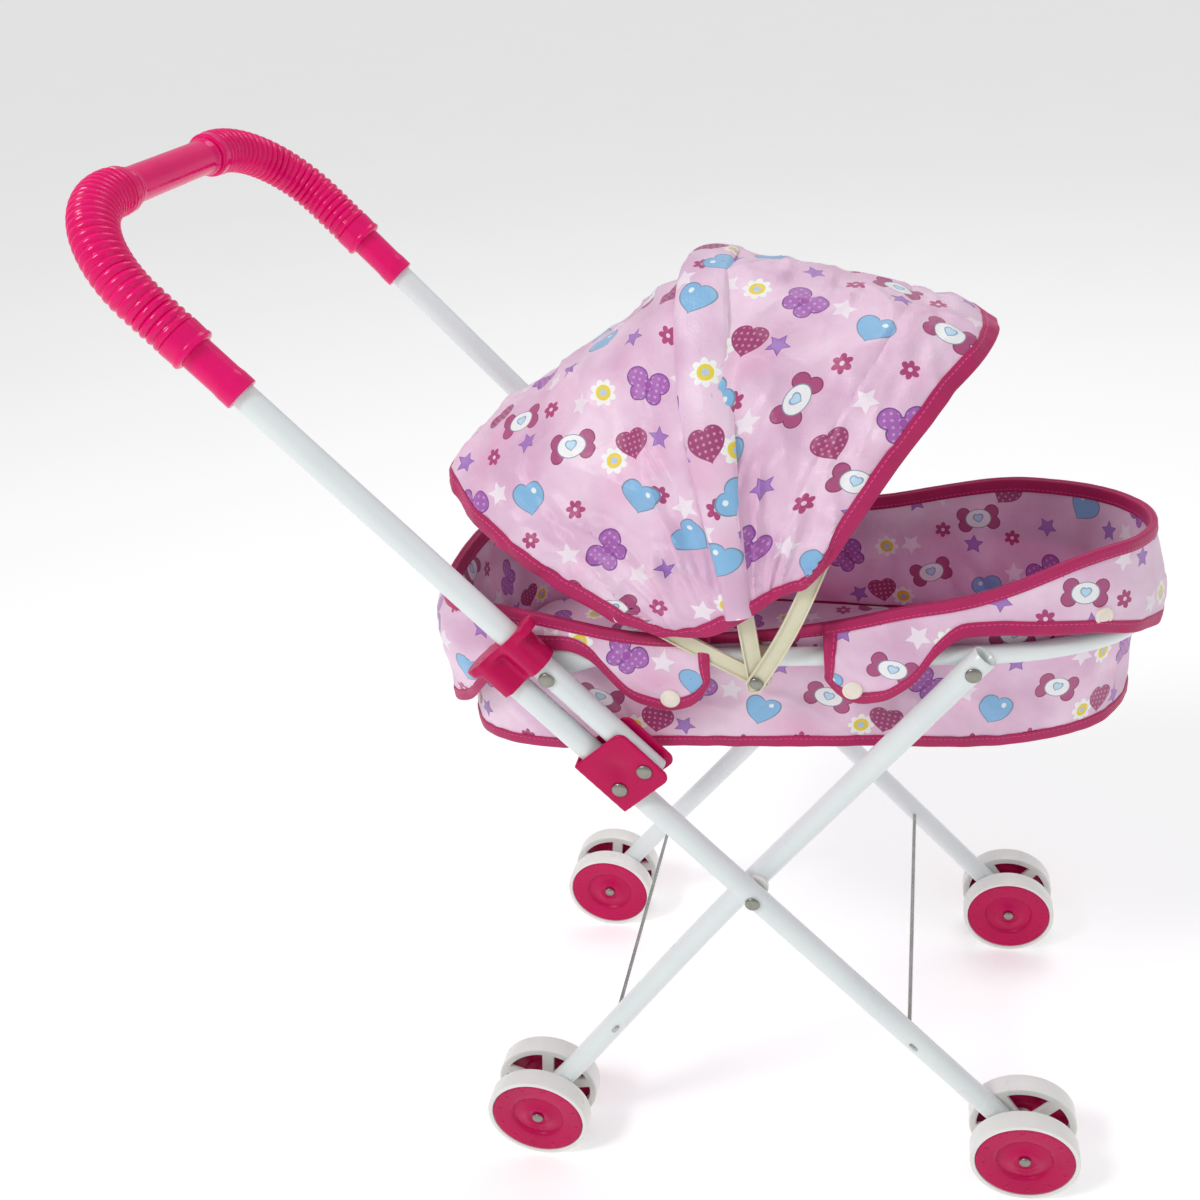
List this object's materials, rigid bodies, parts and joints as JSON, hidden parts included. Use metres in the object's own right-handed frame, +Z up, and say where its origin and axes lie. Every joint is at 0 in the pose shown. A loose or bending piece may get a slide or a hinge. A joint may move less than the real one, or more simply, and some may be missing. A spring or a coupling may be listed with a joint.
{
  "type": "folding doll stroller",
  "caption": "Folding toy stroller for dolls: crossed tube legs on twin wheels, a soft bassinet in an oval frame, a bow canopy and a fold-over push handle.",
  "frame": {"origin": "centre of the overall box, at the ground plane under the wheels", "axes": "+X points the way it is pushed, +Y to its left side, +Z up"},
  "size_m": [0.5017, 0.2348, 0.5703],
  "materials": {
    "white_steel_tube": "glossy white powder coat",
    "pink_plastic": "glossy hot pink moulded plastic",
    "white_plastic": "semi-gloss white moulded plastic",
    "ivory_plastic": "satin ivory plastic channel",
    "rivet_steel": "domed steel rivets, slightly worn",
    "wire_steel": "bright drawn wire",
    "printed_satin": "pale pink satin with a printed pattern and magenta bindings",
    "board_cloth": "stiff board wrapped in pale pink satin"
  },
  "bodies": {
    "front_frame": {"front_leg_right": "white_steel_tube", "front_leg_left": "white_steel_tube", "crossing_rivet_right": "rivet_steel", "crossing_rivet_left": "rivet_steel", "crossing_washer_right": "white_plastic", "crossing_washer_left": "white_plastic", "pivot_bracket_right": "pink_plastic", "pivot_bracket_left": "pink_plastic", "handle_pivot_rivet_right": "rivet_steel", "handle_pivot_rivet_left": "rivet_steel", "bracket_rivet_right": "rivet_steel", "bracket_rivet_left": "rivet_steel", "front_axle_right": "rivet_steel", "front_axle_left": "rivet_steel", "front_cross_wire": "wire_steel"},
    "rear_frame": {"rear_leg_right": "white_steel_tube", "rear_leg_left": "white_steel_tube", "foot_pivot_rivet_right": "rivet_steel", "foot_pivot_rivet_left": "rivet_steel", "rear_axle_right": "rivet_steel", "rear_axle_left": "rivet_steel", "rear_cross_wire": "wire_steel"},
    "handle": {"handle_tube_right": "white_steel_tube", "handle_tube_left": "white_steel_tube", "handle_bar": "pink_plastic", "handle_grip_right": "pink_plastic", "handle_grip_left": "pink_plastic", "handle_rivet_right": "rivet_steel", "handle_rivet_left": "rivet_steel"},
    "lock_right": {"lock_slider_right": "pink_plastic"},
    "lock_left": {"lock_slider_left": "pink_plastic"},
    "bassinet": {"bassinet_frame_front": "white_steel_tube", "bassinet_frame_rear": "white_steel_tube", "bassinet_tub": "printed_satin", "floor_board": "board_cloth", "hub_clip_right": "ivory_plastic", "hub_clip_left": "ivory_plastic", "hub_rivet_right": "rivet_steel", "hub_rivet_left": "rivet_steel"},
    "canopy_rear": {"canopy_bow_rear": "ivory_plastic", "canopy_cover_rear": "printed_satin"},
    "canopy_middle": {"canopy_bow_middle": "ivory_plastic"},
    "canopy_front": {"canopy_bow_front": "ivory_plastic", "canopy_cover_front": "printed_satin"},
    "front_wheel_right_outer_body": {"front_wheel_right_outer": "white_plastic", "front_disc_right_outer": "pink_plastic"},
    "front_wheel_right_inner_body": {"front_wheel_right_inner": "white_plastic", "front_disc_right_inner": "pink_plastic"},
    "front_wheel_left_outer_body": {"front_wheel_left_outer": "white_plastic", "front_disc_left_outer": "pink_plastic"},
    "front_wheel_left_inner_body": {"front_wheel_left_inner": "white_plastic", "front_disc_left_inner": "pink_plastic"},
    "rear_wheel_right_outer_body": {"rear_wheel_right_outer": "white_plastic", "rear_disc_right_outer": "pink_plastic"},
    "rear_wheel_right_inner_body": {"rear_wheel_right_inner": "white_plastic", "rear_disc_right_inner": "pink_plastic"},
    "rear_wheel_left_outer_body": {"rear_wheel_left_outer": "white_plastic", "rear_disc_left_outer": "pink_plastic"},
    "rear_wheel_left_inner_body": {"rear_wheel_left_inner": "white_plastic", "rear_disc_left_inner": "pink_plastic"}
  },
  "joints": [
    {"name": "fold", "type": "hinge", "parent": "front_frame", "child": "handle", "pos_m": [-0.00207, 0, 0.28567], "axis": [0, 1, 0], "range_deg": [0, 144]},
    {"name": "fold_rear_legs", "type": "hinge", "parent": "front_frame", "child": "rear_frame", "pos_m": [0.04785, 0, 0.20081], "axis": [0, 1, 0], "range_deg": [0, 80]},
    {"name": "fold_bassinet", "type": "hinge", "parent": "rear_frame", "child": "bassinet", "pos_m": [0.15618, 0, 0.3365], "axis": [0, 1, 0], "range_deg": [-35, 0]},
    {"name": "canopy_tilt", "type": "hinge", "parent": "bassinet", "child": "canopy_rear", "pos_m": [0.0536, 0, 0.329], "axis": [0, -1, 0], "range_deg": [0, 5]},
    {"name": "canopy_middle_fold", "type": "hinge", "parent": "canopy_rear", "child": "canopy_middle", "pos_m": [0.0536, 0, 0.329], "axis": [0, -1, 0], "range_deg": [0, 43.5], "deforming": ["canopy_cover_rear"]},
    {"name": "canopy_front_fold", "type": "hinge", "parent": "canopy_middle", "child": "canopy_front", "pos_m": [0.0536, 0, 0.329], "axis": [0, -1, 0], "range_deg": [0, 29], "deforming": ["canopy_cover_front"]},
    {"name": "lock_right_slide", "type": "slide", "parent": "handle", "child": "lock_right", "axis": [-0.6561, 0, 0.7547], "range_m": [0, 0.03]},
    {"name": "lock_left_slide", "type": "slide", "parent": "handle", "child": "lock_left", "axis": [-0.6561, 0, 0.7547], "range_m": [0, 0.03]},
    {"name": "wheel_front_right_outer", "type": "hinge", "parent": "front_frame", "child": "front_wheel_right_outer_body", "pos_m": [0.1959, 0, 0.0305], "axis": [0, 1, 0], "continuous": true},
    {"name": "wheel_front_right_inner", "type": "hinge", "parent": "front_frame", "child": "front_wheel_right_inner_body", "pos_m": [0.1959, 0, 0.0305], "axis": [0, 1, 0], "continuous": true},
    {"name": "wheel_front_left_outer", "type": "hinge", "parent": "front_frame", "child": "front_wheel_left_outer_body", "pos_m": [0.1959, 0, 0.0305], "axis": [0, 1, 0], "continuous": true},
    {"name": "wheel_front_left_inner", "type": "hinge", "parent": "front_frame", "child": "front_wheel_left_inner_body", "pos_m": [0.1959, 0, 0.0305], "axis": [0, 1, 0], "continuous": true},
    {"name": "wheel_rear_right_outer", "type": "hinge", "parent": "rear_frame", "child": "rear_wheel_right_outer_body", "pos_m": [-0.0881, 0, 0.0305], "axis": [0, 1, 0], "continuous": true},
    {"name": "wheel_rear_right_inner", "type": "hinge", "parent": "rear_frame", "child": "rear_wheel_right_inner_body", "pos_m": [-0.0881, 0, 0.0305], "axis": [0, 1, 0], "continuous": true},
    {"name": "wheel_rear_left_outer", "type": "hinge", "parent": "rear_frame", "child": "rear_wheel_left_outer_body", "pos_m": [-0.0881, 0, 0.0305], "axis": [0, 1, 0], "continuous": true},
    {"name": "wheel_rear_left_inner", "type": "hinge", "parent": "rear_frame", "child": "rear_wheel_left_inner_body", "pos_m": [-0.0881, 0, 0.0305], "axis": [0, 1, 0], "continuous": true}
  ],
  "couplings": [
    {"joint": "fold_rear_legs", "follows": "fold", "ratio": 0.545},
    {"joint": "fold_bassinet", "follows": "fold", "ratio": -0.2365},
    {"joint": "canopy_middle_fold", "follows": "canopy_front_fold", "ratio": 1.5}
  ]
}
